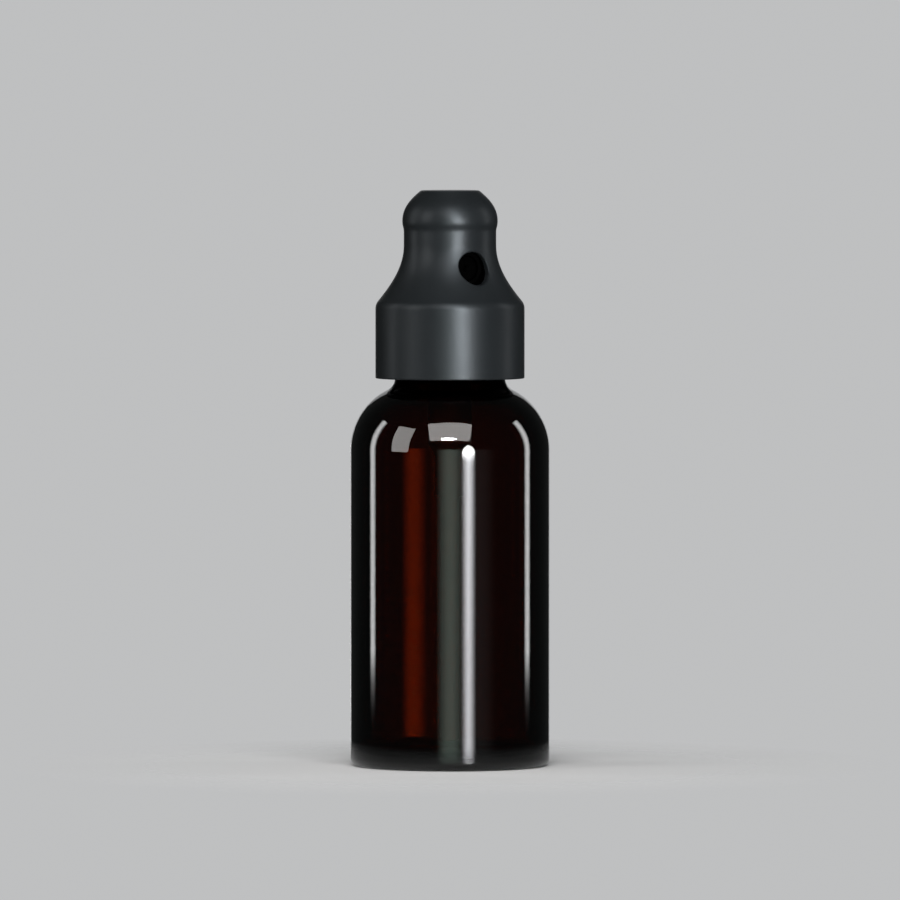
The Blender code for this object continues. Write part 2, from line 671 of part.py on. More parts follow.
def make_piston(parent):
    """The soft piston: its neck is pressed into the stem and its lip wipes the cylinder."""
    lip = CYLINDER_RADIUS - FIT_GAP
    body = lip - FIT_GAP
    neck = VALVE_CHAMBER_RADIUS - FIT_GAP
    spigot = MAIN_SPRING_DIAMETER / 2 - MAIN_SPRING_WIRE - SLIDE_GAP
    bore = PISTON_BORE / 2
    lip_foot = PISTON_TOP_Z - PISTON_LIP
    outline = [
        (neck, PISTON_SEAT_Z),
        (neck, PISTON_TOP_Z),
        (body, PISTON_TOP_Z),
        (lip, PISTON_TOP_Z - PISTON_LIP / 3),
        (lip, PISTON_TOP_Z - PISTON_LIP * 2 / 3),
        (body, lip_foot),
        (body, PISTON_FOOT_Z),
        (spigot, PISTON_FOOT_Z),
        (spigot, PISTON_FOOT_Z - PISTON_SPIGOT),
        (bore, PISTON_FOOT_Z - PISTON_SPIGOT),
        (bore, PISTON_SEAT_Z),
    ]
    attach(turned("piston", outline, PISTON_TOP_Z, SMALL_SIDES, SOFT_PISTON), parent)


def make_outlet_valve(spring_parent, pin_parent):
    """The pin that closes the piston's bore, and the small spring in the stem that holds it shut."""
    collar = VALVE_CHAMBER_RADIUS - SLIDE_GAP
    shaft = PIN_SHAFT_DIAMETER / 2
    collar_top = PIN_COLLAR_Z + PIN_COLLAR
    shaft_top = STEM_ROOF_Z - OUTLET_LIFT - SEAT_GAP
    tip = PIN_TIP_DIAMETER / 2
    tip_top = PISTON_SEAT_Z + collar / 2 - tip
    outline = [
        (0, shaft_top),
        (shaft, shaft_top),
        (shaft, collar_top),
        (collar, collar_top),
        (collar, PIN_COLLAR_Z),
        (collar / 2, PIN_COLLAR_Z),
        (collar / 2, tip_top),
        (tip, PISTON_SEAT_Z),
        (0, PISTON_SEAT_Z),
    ]
    attach(turned("valve_pin", outline, PIN_COLLAR_Z, FINE_SIDES, VALVE_PLASTIC), pin_parent)
    coil = spring(
        "valve_spring", VALVE_SPRING_DIAMETER, VALVE_SPRING_WIRE, VALVE_SPRING_LENGTH,
        VALVE_SPRING_TURNS, VALVE_SPRING_Z, FIT_GAP / 2,
    )
    attach(coil, spring_parent)


def make_main_spring(parent):
    """The return spring between the ball's retainer and the piston."""
    coil = spring(
        "main_spring", MAIN_SPRING_DIAMETER, MAIN_SPRING_WIRE, MAIN_SPRING_LENGTH,
        MAIN_SPRING_TURNS, MAIN_SPRING_Z, FIT_GAP,
    )
    attach(coil, parent)


def head_outline(detail):
    """The spray head's outside, from the top of its dome down to the rim of its skirt."""
    top = HEAD_Z + HEAD_HEIGHT
    dome, dome_foot = HEAD_Z + DOME_HEIGHT, HEAD_Z + DOME_FOOT_HEIGHT
    waist, waist_foot = WAIST_DIAMETER / 2, HEAD_Z + WAIST_FOOT_HEIGHT
    slope, lean = math.radians(TOP_SLOPE), math.radians(FLARE_ANGLE)
    dome_side = sweep(
        (TOP_FLAT_DIAMETER / 2, top),
        (CROWN_PULL * math.cos(slope), -CROWN_PULL * math.sin(slope)),
        (DOME_DIAMETER / 2, dome),
        (0, -DOME_PULL),
        3 * detail,
    )
    tuck = sweep(
        (DOME_DIAMETER / 2, dome), (0, -TUCK_PULL), (waist, dome_foot), (0, -TUCK_PULL), 2 * detail
    )
    edge_centre = (SKIRT_RADIUS - SHELL_EDGE_ROUND, HEAD_Z - SHELL_EDGE_DROP)
    edge = arc(edge_centre, SHELL_EDGE_ROUND, FLARE_ANGLE, 0, 1 + detail)
    flare = sweep(
        (waist, waist_foot),
        (0, -FLARE_PULL),
        edge[0],
        (FLARE_PULL * math.sin(lean), -FLARE_PULL * math.cos(lean)),
        3 * detail,
    )
    return [(0, top)] + dome_side + tuck[1:] + flare + edge[1:] + [(SKIRT_RADIUS, SKIRT_Z)]


def make_shell(parent):
    """The one-piece shell: the finger dome, the waist with the spray hole and the long skirt."""
    outside = head_outline(2)
    inside = inward(head_outline(1), SHELL_WALL)[::-1]
    shell = turned("actuator_shell", outside + inside, HEAD_Z, LARGE_SIDES, CHARCOAL_SHELL)
    hole_radius = RECESS_DIAMETER / 2
    hole = rod("spray_hole", hole_radius, RECESS_FLOOR - SHELL_WALL, 2 * SKIRT_RADIUS, SMALL_SIDES)
    combine(shell, "DIFFERENCE", along_nozzle(hole))
    attach(shell, parent)


def make_core(parent):
    """The moulded core in the shell: stem socket, riser, nozzle boss and two driving fins."""
    pillar = PILLAR_DIAMETER / 2
    top = HEAD_Z + HEAD_HEIGHT
    outline = [(0, top), (pillar, top), (pillar, HEAD_Z), (0, HEAD_Z)]
    core = turned("actuator_core", outline, HEAD_Z, MEDIUM_SIDES, BLACK_PLASTIC)
    recess = RECESS_DIAMETER / 2
    boss = rod("nozzle_boss", recess + BOSS_WALL, BOSS_START, SKIRT_RADIUS, MEDIUM_SIDES)
    combine(core, "UNION", along_nozzle(boss))
    half = FIN_THICKNESS / 2
    for number, turn in enumerate(FIN_TURNS):
        low, high = (FIN_START, -half, HEAD_Z), (SKIRT_RADIUS, half, top)
        fin = block(f"drive_fin_{number + 1}", low, high, turn)
        combine(core, "UNION", fin)
    skin = inward(head_outline(2), SHELL_WALL + FIT_GAP)
    room = [point for point in skin if point[1] > HEAD_Z]
    room += [(room[-1][0], HEAD_Z), (0, HEAD_Z)]
    inner_room = turned("shell_room", room, HEAD_Z, LARGE_SIDES, group=CUTTERS)
    combine(core, "INTERSECT", inner_room)
    socket = STEM_RADIUS + FIT_GAP
    riser = RISER_DIAMETER / 2
    feed_rise = (INSERT_DIAMETER - FEED_DIAMETER) / 2
    riser_top = NOZZLE_Z + INSERT_DIAMETER / 2 + FIT_GAP
    socket_top = HEAD_Z + SOCKET_DEPTH
    below = HEAD_Z - SOCKET_DEPTH
    bores = [(0, riser_top), (riser, riser_top), (riser, socket_top), (socket, socket_top),
             (socket, below), (0, below)]
    stem_bore = turned("stem_bore", bores, HEAD_Z, SMALL_SIDES, group=CUTTERS)
    bore = INSERT_DIAMETER / 2 + FIT_GAP
    post = POST_DIAMETER / 2
    post_end = INSERT_FLOOR + INSERT_LENGTH - INSERT_FACE
    mouth = SKIRT_RADIUS + SHELL_WALL
    nozzle = [(0, mouth), (recess, mouth), (recess, RECESS_FLOOR), (bore, RECESS_FLOOR),
              (bore, INSERT_FLOOR), (post, INSERT_FLOOR), (post, post_end), (0, post_end)]
    nozzle_bore = turned("nozzle_bore", nozzle, 0, SMALL_SIDES, group=CUTTERS)
    feed = rod("nozzle_feed", FEED_DIAMETER / 2, 0, INSERT_FLOOR + FIT_GAP, FINE_SIDES)
    along_nozzle(feed).location.z += feed_rise
    core_out_start = HEAD_Z + PILLAR_CORE_HEIGHT
    core_out = rod("pillar_core", PILLAR_CORE_DIAMETER / 2, core_out_start, 2 * top, MEDIUM_SIDES)
    combine(core, "DIFFERENCE", stem_bore, along_nozzle(nozzle_bore), feed, core_out)
    attach(core, parent)


def make_nozzle_insert(parent):
    """The orifice cup pressed over the core's post, with a flared mouth."""
    outer = INSERT_DIAMETER / 2
    inner = outer - INSERT_WALL
    back = INSERT_FLOOR + FIT_GAP
    front = back + INSERT_LENGTH
    face = front - INSERT_FACE
    outline = [
        (ORIFICE_FLARE / 2, front),
        (outer, front),
        (outer, back),
        (inner, back),
        (inner, face),
        (ORIFICE_DIAMETER / 2, face),
        (ORIFICE_DIAMETER / 2, front - INSERT_FACE / 2),
    ]
    insert = turned("nozzle_insert", outline, 0, SMALL_SIDES, BLACK_PLASTIC)
    attach(along_nozzle(insert), parent)


def build():
    pump = carrier("pump_carrier", FLANGE_Z)
    screw = carrier("closure_carrier", DECK_Z, pump)
    head = carrier("actuator_carrier", HEAD_Z, screw)
    outlet = carrier("outlet_valve_carrier", PIN_COLLAR_Z, head)
    inlet = carrier("inlet_ball_carrier", BALL_Z, pump)
    make_bottle()
    make_gasket(pump)
    make_housing(pump)
    make_turret(pump)
    make_inlet_valve(pump, inlet)
    make_dip_tube(pump)
    make_main_spring(pump)
    make_closure(screw)
    make_stem(head)
    make_piston(head)
    make_outlet_valve(head, outlet)
    make_shell(head)
    make_core(head)
    make_nozzle_insert(head)


build()
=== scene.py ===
"""Boston round spray bottle: amber glass, and a fine-mist pump under a one-piece charcoal head.

Metres, +Z up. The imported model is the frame: each of its pieces is given its finish here, or is
made again more finely, in the order in which the bottle is moulded, fitted with its pump and closed.
"""

import math

import bmesh
import bpy
from mathutils import Matrix, Vector
from mathutils.geometry import interpolate_bezier


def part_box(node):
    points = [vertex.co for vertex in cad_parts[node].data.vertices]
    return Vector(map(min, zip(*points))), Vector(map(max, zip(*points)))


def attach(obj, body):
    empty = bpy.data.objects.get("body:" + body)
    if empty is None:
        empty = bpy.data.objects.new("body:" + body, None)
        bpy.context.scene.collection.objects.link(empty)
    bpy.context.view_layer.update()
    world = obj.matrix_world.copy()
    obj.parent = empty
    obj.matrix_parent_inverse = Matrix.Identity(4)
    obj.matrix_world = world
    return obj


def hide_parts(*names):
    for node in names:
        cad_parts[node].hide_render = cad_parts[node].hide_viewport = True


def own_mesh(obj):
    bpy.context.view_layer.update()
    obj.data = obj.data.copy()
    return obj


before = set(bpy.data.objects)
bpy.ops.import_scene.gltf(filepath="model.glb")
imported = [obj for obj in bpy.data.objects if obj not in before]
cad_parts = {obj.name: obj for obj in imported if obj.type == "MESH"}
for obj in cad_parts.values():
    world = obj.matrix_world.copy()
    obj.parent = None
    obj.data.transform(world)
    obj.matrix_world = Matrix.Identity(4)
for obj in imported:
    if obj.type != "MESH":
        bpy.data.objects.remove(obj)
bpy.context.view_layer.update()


# Amber bottle. Soda-lime glass, blown in a mould of two halves, so a fine parting line runs down
# each side and its walls ripple a little. The ring that it stands on has short moulded bars, and
# its neck has the 20-400 thread that the closure draws down on.

BODY_RADIUS = 0.0165
SHOULDER_START = 0.0524
SHOULDER_ROUND = 0.0111
HEEL_ROUND = 0.0012
BASE_RING_WIDTH = 0.0030
PUSH_UP = 0.0009
GLASS_WALL = 0.0021
BASE_THICKNESS = 0.0023
INNER_HEEL_ROUND = 0.0018
NECK_RADIUS = 0.00915
NECK_FILLET = 0.0022
NECK_STEP = 0.0004
BORE_RADIUS = 0.0063
INNER_NECK_FILLET = 0.0020
LIP_ROUND = 0.0004
LIP_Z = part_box("bottle")[1].z
THREAD_ROOT = 0.00875
THREAD_HEIGHT = 0.0010
THREAD_PITCH = 0.003175
THREAD_TURNS = 1.1
THREAD_BELOW_LIP = 0.0012
THREAD_RUN_OUT = 0.08
BASE_BARS = 60
BAR_HEIGHT = 0.00012
SEAM_BEARING = 9.0
SEAM_HEIGHT = 0.00004
SEAM_WIDTH = 0.00016
BOTTLE_SIDES = 240
THREAD_FULLNESS = 0.6
BASE_STEPS = 14
INNER_HEEL_STEPS = 12
HEEL_STEPS = 10
WALL_STEPS = 24
INNER_SHOULDER_STEPS = 30
SHOULDER_STEPS = 48
LIP_STEPS = 5
NECK_STEPS = 60
SEAM_STEPS = 4
HAIR = 1e-6
RING_STEP = 1e-5
LEAST_TURN = 1e-4


def arc(centre, radius, start, end, steps):
    """Points on an arc between two angles, in degrees from the outward direction."""
    angles = [math.radians(start + (end - start) * i / steps) for i in range(steps + 1)]
    return [(centre[0] + radius * math.cos(a), centre[1] + radius * math.sin(a)) for a in angles]


def crown(edge, foot, rise, steps):
    """Points on a shallow crown, from its middle out to its edge."""
    shares = [i / steps for i in range(steps + 1)]
    return [(edge * share, foot + rise * (1 - share**2)) for share in shares]


def straight(start, end, steps):
    """Evenly spaced points between two points, without the two themselves."""
    shares = [i / steps for i in range(1, steps)]
    return [tuple(a + (b - a) * share for a, b in zip(start, end)) for share in shares]


def eased(start, end, steps):
    """Points between two points, closer together near both, so a curve next to them stays local."""
    shares = [(1 - math.cos(math.pi * i / steps)) / 2 for i in range(1, steps)]
    return [tuple(a + (b - a) * share for a, b in zip(start, end)) for share in shares]


def shoulder_outline(wall, neck_radius, fillet, steps):
    """The shoulder from the neck down to the body wall, a wall's thickness inside the outer one."""
    centre = (BODY_RADIUS - SHOULDER_ROUND, SHOULDER_START)
    radius = SHOULDER_ROUND - wall
    reach = neck_radius + fillet - centre[0]
    rise = math.sqrt((radius + fillet) ** 2 - reach**2)
    meeting = math.degrees(math.atan2(rise, reach))
    fillet_centre = (neck_radius + fillet, centre[1] + rise)
    neck = arc(fillet_centre, fillet, 180, 180 + meeting, steps // 3)
    return neck + arc(centre, radius, meeting, 0, steps)[1:]


def even_angles(sides):
    """Evenly spaced angles round a full turn."""
    return [math.tau * i / sides for i in range(sides)]


def made(name, shape, sharp=35.0):
    """A smooth-shaded object from a bmesh, with creases where faces meet at a sharp angle."""
    mesh = bpy.data.meshes.new(name)
    bmesh.ops.recalc_face_normals(shape, faces=shape.faces)
    if shape.calc_volume(signed=True) < 0:
        bmesh.ops.reverse_faces(shape, faces=shape.faces)
    shape.to_mesh(mesh)
    shape.free()
    mesh.shade_smooth()
    mesh.set_sharp_from_angle(angle=math.radians(sharp))
    piece = bpy.data.objects.new(name, mesh)
    bpy.context.scene.collection.objects.link(piece)
    return piece


def turned(name, outline, angles, moved=None):
    """Turn an outline of (radius, height) points about +Z. moved may shift each point of it."""
    shape = bmesh.new()
    rings = []
    for radius, height in outline:
        if radius == 0:
            rings.append([shape.verts.new((0, 0, height))] * len(angles))
            continue
        ring = []
        for angle in angles:
            r, z = moved(radius, height, angle) if moved else (radius, height)
            ring.append(shape.verts.new((r * math.cos(angle), r * math.sin(angle), z)))
        rings.append(ring)
    if outline[0][0] > 0:
        rings.append(rings[0])
    following = [*range(1, len(angles)), 0]
    for upper, lower in zip(rings, rings[1:]):
        for i, j in enumerate(following):
            shape.faces.new(dict.fromkeys((upper[i], lower[i], lower[j], upper[j])))
    return made(name, shape)


NECK_Z = shoulder_outline(0, NECK_RADIUS, NECK_FILLET, 3)[0][1]
THREAD_FOOT_Z = LIP_Z - THREAD_BELOW_LIP - THREAD_HEIGHT - THREAD_PITCH * THREAD_TURNS
NECK_FOOT_Z = NECK_Z + NECK_STEP


def thread_rise(height, angle):
    """How far the thread stands out of the neck at a height and an angle."""
    rise = 0.0
    for lap in range(2):
        turned_by = angle / math.tau + lap
        away = abs(height - THREAD_FOOT_Z - THREAD_PITCH * turned_by) / THREAD_HEIGHT
        if turned_by <= THREAD_TURNS and away < 1:
            run_out = min(turned_by, THREAD_TURNS - turned_by) / THREAD_RUN_OUT
            rise = max(rise, THREAD_HEIGHT * (1 - away**2) ** THREAD_FULLNESS * min(1.0, run_out))
    return rise


def glass_detail(radius, height, angle):
    """Add the thread, the mould's parting lines and the bars under the base to a bottle point."""
    if abs(radius - THREAD_ROOT) < HAIR and height > NECK_FOOT_Z:
        radius += thread_rise(height, angle)
    if radius > NECK_RADIUS + HAIR and height > HEEL_ROUND:
        past = (angle - math.radians(SEAM_BEARING) + math.pi / 2) % math.pi - math.pi / 2
        radius += SEAM_HEIGHT * math.exp(-((past * radius / SEAM_WIDTH) ** 2))
    if height == 0.0 and radius < BODY_RADIUS - HEEL_ROUND:
        height = BAR_HEIGHT * (math.sin(angle * BASE_BARS) < 0)
    return radius, height


def bottle_outline():
    """The bottle's wall, from the middle of its floor over the lip to the middle of its base."""
    floor_radius = BODY_RADIUS - GLASS_WALL - INNER_HEEL_ROUND
    ring_outer = BODY_RADIUS - HEEL_ROUND
    ring_inner = ring_outer - BASE_RING_WIDTH
    ring_edge = BASE_RING_WIDTH / 6
    inner_heel_centre = (floor_radius, BASE_THICKNESS + INNER_HEEL_ROUND)
    lip_centre_z = LIP_Z - LIP_ROUND
    floor = crown(floor_radius, BASE_THICKNESS, PUSH_UP, BASE_STEPS)
    inner_heel = arc(inner_heel_centre, INNER_HEEL_ROUND, -90, 0, INNER_HEEL_STEPS)
    inner_shoulder = shoulder_outline(
        GLASS_WALL, BORE_RADIUS, INNER_NECK_FILLET, INNER_SHOULDER_STEPS
    )[::-1]
    inner_wall = eased(inner_heel[-1], inner_shoulder[0], WALL_STEPS)
    inner_lip = arc((BORE_RADIUS + LIP_ROUND, lip_centre_z), LIP_ROUND, 180, 90, LIP_STEPS)
    outer_lip = arc((THREAD_ROOT - LIP_ROUND, lip_centre_z), LIP_ROUND, 90, 0, LIP_STEPS)
    neck_step = [(THREAD_ROOT, NECK_FOOT_Z + NECK_RADIUS - THREAD_ROOT), (NECK_RADIUS, NECK_FOOT_Z)]
    neck = straight(outer_lip[-1], neck_step[0], NECK_STEPS)
    outer_shoulder = shoulder_outline(0, NECK_RADIUS, NECK_FILLET, SHOULDER_STEPS)
    heel = arc((ring_outer, HEEL_ROUND), HEEL_ROUND, 0, -90, HEEL_STEPS)
    wall = eased(outer_shoulder[-1], heel[0], WALL_STEPS)
    ring = [(ring_outer - ring_edge, 0.0), (ring_inner + ring_edge, 0.0)]
    base = crown(ring_inner, 0.0, PUSH_UP, BASE_STEPS)[::-1]
    base[0] = (ring_inner, RING_STEP)
    inside = floor + inner_heel[1:] + inner_wall + inner_shoulder + inner_lip
    return inside + outer_lip + neck + neck_step + outer_shoulder + wall + heel + ring + base


def bottle_angles():
    """Even angles round the bottle, with closer ones at the two parting lines."""
    angles = set(even_angles(BOTTLE_SIDES))
    for seam in (math.radians(SEAM_BEARING), math.radians(SEAM_BEARING) + math.pi):
        for step in range(-SEAM_STEPS, SEAM_STEPS + 1):
            angles.add(seam + step * SEAM_WIDTH / 2 / BODY_RADIUS)
    kept = []
    for angle in sorted(angles):
        if not kept or angle - kept[-1] > LEAST_TURN:
            kept.append(angle)
    return kept


class Wire:
    """One output of a finish's nodes. Sums of wires and numbers add Math nodes to the finish."""

    def __init__(self, finish, socket):
        self.finish, self.socket = finish, socket

    def maths(self, operation, first, second=0.0):
        return self.finish.add("Math", {"operation": operation}, {0: first, 1: second})

    def __add__(self, other):
        return self.maths("ADD", self, other)

    def __sub__(self, other):
        return self.maths("SUBTRACT", self, other)

    def __rsub__(self, other):
        return self.maths("SUBTRACT", other, self)

    def __mul__(self, other):
        return self.maths("MULTIPLY", self, other)

    def __truediv__(self, other):
        return self.maths("DIVIDE", self, other)

    def __pow__(self, other):
        return self.maths("POWER", self, other)

    __radd__, __rmul__ = __add__, __mul__

    def above(self, least):
        return self.maths("MAXIMUM", self, least)

    def below(self, most):
        return self.maths("MINIMUM", self, most)


class Finish:
    """A node material. Its even values sit on the shader's own sockets."""

    def __init__(self, name, values, owner=None):
        owner = owner or bpy.data.materials.new(name)
        owner.use_nodes = True
        self.owner, self.tree = owner, owner.node_tree
        self.shader = self.tree.nodes.get("Principled BSDF")
        self.fill(self.shader, values)

    def fill(self, node, values):
        """Link a wire to each named socket of a node, or set the socket's own value."""
        for name, value in values.items():
            if isinstance(value, Wire):
                self.tree.links.new(value.socket, node.inputs[name])
            else:
                node.inputs[name].default_value = value

    def add(self, kind, settings=None, values=None, output=0):
        """Add a node of a type, with its settings made first and its sockets filled after them."""
        node = self.tree.nodes.new("ShaderNode" + kind)
        for name, value in (settings or {}).items():
            if name == "stops":
                ramp = node.color_ramp.elements
                while len(ramp) < len(value):
                    ramp.new(0.5)
                for stop, (place, colour) in zip(ramp, value):
                    stop.position, stop.color = place, colour
            else:
                setattr(node, name, value)
        self.fill(node, values or {})
        return Wire(self, node.outputs[output])

    def place(self):
        """Where a point lies on the piece, in metres."""
        return self.add("TexCoord", output="Object")

    def noise(self, scale, detail=2.0, place=None):
        """Soft noise from 0 to 1 over the piece."""
        values = {"Vector": place or self.place(), "Scale": scale, "Detail": detail}
        return self.add("TexNoise", None, values)

    def tint(self, factor, first, second):
        """Go from one colour to another as the factor goes from 0 to 1."""
        # A Mix node's sockets for colours are its seventh and eighth, and its third output
        colours = {0: factor, 6: (*first, 1), 7: (*second, 1)}
        return self.add("Mix", {"data_type": "RGBA"}, colours, 2)

    def relief(self, height, depth):
        """Raise the surface by a height from 0 to 1, up to a depth in metres."""
        values = {"Height": height, "Distance": depth, "Strength": 1.0}
        self.fill(self.shader, {"Normal": self.add("Bump", None, values)})

    def put_on(self, piece):
        piece.data.materials.clear()
        piece.data.materials.append(self.owner)


def dress(piece, finish, body, slot, *nodes):
    """Give a piece its finish, and set it in place of the frame's nodes that it is made after."""
    finish.put_on(piece)
    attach(piece, body)
    if nodes:
        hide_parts(*nodes)


AMBER_TINT = (0.60, 0.385, 0.12)
AMBER_DENSITY = 2700.0
RIPPLE_SCALE = 75.0
RIPPLE_DEPTH = 0.000006
HANDLING_SCALE = 260.0
HANDLING_START = 0.45
HANDLING_HAZE = 0.06
POLISH = 0.012

amber = Finish(
    "amber_glass",
    {"Base Color": (1, 1, 1, 1), "IOR": 1.52, "Transmission Weight": 1.0},
)
depth = amber.add("VolumeAbsorption", None, {"Color": (*AMBER_TINT, 1), "Density": AMBER_DENSITY})
amber.fill(amber.tree.nodes["Material Output"], {"Volume": depth})
handling = amber.noise(HANDLING_SCALE, 4.0)
haze = (handling - HANDLING_START).above(0) * HANDLING_HAZE + POLISH
amber.fill(amber.shader, {"Roughness": haze})
amber.relief(amber.noise(RIPPLE_SCALE, 1.0), RIPPLE_DEPTH)

bottle = turned("amber_bottle", bottle_outline(), bottle_angles(), glass_detail)
dress(bottle, amber, "bottle", "amber_glass", "bottle")


# Pump mouldings. Natural and white polyolefin, injection moulded in small tools, so each has a fine
# satin grain and a faint cloud in its colour. They snap or press together inside the bottle's neck.

CLOUD_SCALE = 420.0
CLOUD_SHINE = 0.14
GRAIN_SHINE = 0.10
MILKINESS = 0.15
MILKY_DEPTH = 0.0008


def moulded(name, colour, roughness, grain=9000.0, depth=0.000006, cloud=0.10, values=None):
    """A moulded plastic: a cloud in its colour, a satin that varies and the grain of its mould."""
    finish = Finish(name, {"IOR": 1.49, **(values or {})})
    drift = finish.noise(CLOUD_SCALE, 3.0)
    pale = [min(1.0, channel * (1 + cloud)) for channel in colour]
    deep = [channel * (1 - cloud) for channel in colour]
    skin = finish.noise(grain, 2.0)
    colours = {"Base Color": finish.tint(drift, deep, pale)}
    shine = {"Roughness": (drift - 0.5) * CLOUD_SHINE + (skin - 0.5) * GRAIN_SHINE + roughness}
    finish.fill(finish.shader, {**colours, **shine})
    finish.relief(skin, depth)
    return finish


milky = {"Subsurface Weight": MILKINESS, "Subsurface Radius": (MILKY_DEPTH,) * 3}
natural = moulded("natural_housing", (0.74, 0.76, 0.76), 0.34, values=milky)
clear_tube = moulded(
    "natural_dip_tube", (0.80, 0.82, 0.82), 0.26, grain=5200.0, depth=0.000004, cloud=0.05
)
white_turret = moulded("white_turret", (0.78, 0.78, 0.76), 0.40)
white_stem = moulded("white_stem", (0.82, 0.82, 0.80), 0.36)
soft_piston = moulded("soft_piston", (0.86, 0.86, 0.83), 0.50, grain=6000.0, depth=0.000010)
valve_blue = moulded("pale_valve_pin", (0.55, 0.60, 0.66), 0.38)
disc_grey = moulded("off_white_disc", (0.70, 0.70, 0.68), 0.44)

for node, finish in (
    ("pump_housing", natural),
    ("dip_tube", clear_tube),
    ("turret", white_turret),
    ("stem", white_stem),
    ("piston", soft_piston),
    ("valve_pin", valve_blue),
    ("ball_retainer", disc_grey),
):
    finish.put_on(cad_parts[node])


# Springs and ball. The springs are wound from drawn stainless wire, with their end turns almost
# closed, and the ball is lapped stainless. The return spring stands on the ball's disc under the
# piston, and the valve spring hangs in the stem over the pin, and each is squeezed shorter when the head
# is pressed.

RETURN_WIRE, RETURN_TURNS, RETURN_END_GAP = 0.0005, 7, 0.00015
VALVE_WIRE, VALVE_TURNS, VALVE_END_GAP = 0.0003, 5.5, 0.000075
WINDING_STEPS = 36
WIRE_SIDES = 12
LINE_SCALE = 2600.0
LINE_DARKNESS = 0.82
LINE_SHINE = 0.16
LINE_DEPTH = 0.0000015


def steel(name, colour, roughness, stretch):
    """Bright steel with fine lines: drawn wire, or the haze that lapping leaves."""
    finish = Finish(name, {"Metallic": 1.0})
    place = finish.add("Mapping", None, {"Vector": finish.place(), "Scale": stretch})
    lines = finish.noise(LINE_SCALE, 3.0, place)
    deep = [channel * LINE_DARKNESS for channel in colour]
    shine = {"Roughness": (lines - 0.5) * LINE_SHINE + roughness}
    finish.fill(finish.shader, {"Base Color": finish.tint(lines, deep, colour), **shine})
    finish.relief(lines, LINE_DEPTH)
    return finish


def wound(name, node, wire, turns, end_gap):
    """A compression spring of round wire, wound in the place of its node."""
    low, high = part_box(node)
    radius = (high.x - low.x - wire) / 2
    closed = wire + end_gap
    open_pitch = (high.z - low.z - wire - 2 * closed) / (turns - 2)
    shape = bmesh.new()
    rings = []
    for step in range(round(turns * WINDING_STEPS) + 1):
        lap = step / WINDING_STEPS
        ends = min(lap, 1) + max(lap - (turns - 1), 0)
        middle = Vector((radius, 0, low.z + wire / 2 + closed * ends + open_pitch * (lap - ends)))
        ring = []
        for side in even_angles(WIRE_SIDES):
            point = middle + Vector((math.cos(side), 0, math.sin(side))) * wire / 2
            point.rotate(Matrix.Rotation(math.tau * lap, 3, "Z"))
            ring.append(shape.verts.new(point))
        rings.append(ring)
    following = [*range(1, WIRE_SIDES), 0]
    for before, after in zip(rings, rings[1:]):
        for i, j in enumerate(following):
            shape.faces.new((before[i], before[j], after[j], after[i]))
    shape.faces.new(rings[0][::-1])
    shape.faces.new(rings[-1])
    return made(name, shape)


def shortens(spring):
    """Give a spring a mesh of its own."""
    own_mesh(spring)


drawn_wire = steel("drawn_spring_wire", (0.62, 0.61, 0.59), 0.26, (1.0, 1.0, 9.0))
return_spring = wound("return_spring", "main_spring", RETURN_WIRE, RETURN_TURNS, RETURN_END_GAP)
dress(return_spring, drawn_wire, "pump", "spring_steel", "main_spring")
shortens(return_spring)
pin_spring = wound("pin_spring", "valve_spring", VALVE_WIRE, VALVE_TURNS, VALVE_END_GAP)
dress(pin_spring, drawn_wire, "actuator", "spring_steel", "valve_spring")
shortens(pin_spring)

lapped_ball = steel("lapped_ball", (0.70, 0.70, 0.69), 0.12, (3.0, 3.0, 3.0))
lapped_ball.put_on(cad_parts["inlet_ball"])


# Gasket and stem seal. The gasket is punched from closed-cell foam sheet, so its cells show as small
# dimples, and the seal is black elastomer. Each is squeezed by the piece above it.

CELL_SCALE = 3600.0
CELL_DEPTH = 0.00004
CELL_SHINE = 0.12
FOAM_ROUGHNESS = 0.78
FOAM_PAINTED_SHADE = (0.50, 0.50, 0.48)
FOAM_PALE = (0.66, 0.66, 0.64)

foam = Finish("foam_gasket", {"Specular IOR Level": 0.3})
cells = foam.add("TexVoronoi", None, {"Vector": foam.place(), "Scale": CELL_SCALE})
# The foam is painted darker down in each dimple: painted shade. Between them it has its own pale colour.
foam_colour_and_painted_shade = foam.tint(cells, FOAM_PAINTED_SHADE, FOAM_PALE)
foam_shine = (1 - cells) * CELL_SHINE + FOAM_ROUGHNESS
foam.fill(foam.shader, {"Base Color": foam_colour_and_painted_shade, "Roughness": foam_shine})
foam.relief(cells, CELL_DEPTH)
foam.put_on(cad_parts["gasket"])

seal = moulded("seal_rubber", (0.05, 0.05, 0.05), 0.68, grain=5200.0, depth=0.000012)
seal.put_on(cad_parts["stem_seal"])


# Screw closure. Black polypropylene, hidden in the skirt of the head: it screws down on the neck and
# has four dogs on its deck, between which the head's fins stand to turn it.

closure_black = moulded("black_closure", (0.018, 0.018, 0.020), 0.44, grain=7000.0, depth=0.000010)
closure_black.put_on(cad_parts["closure"])
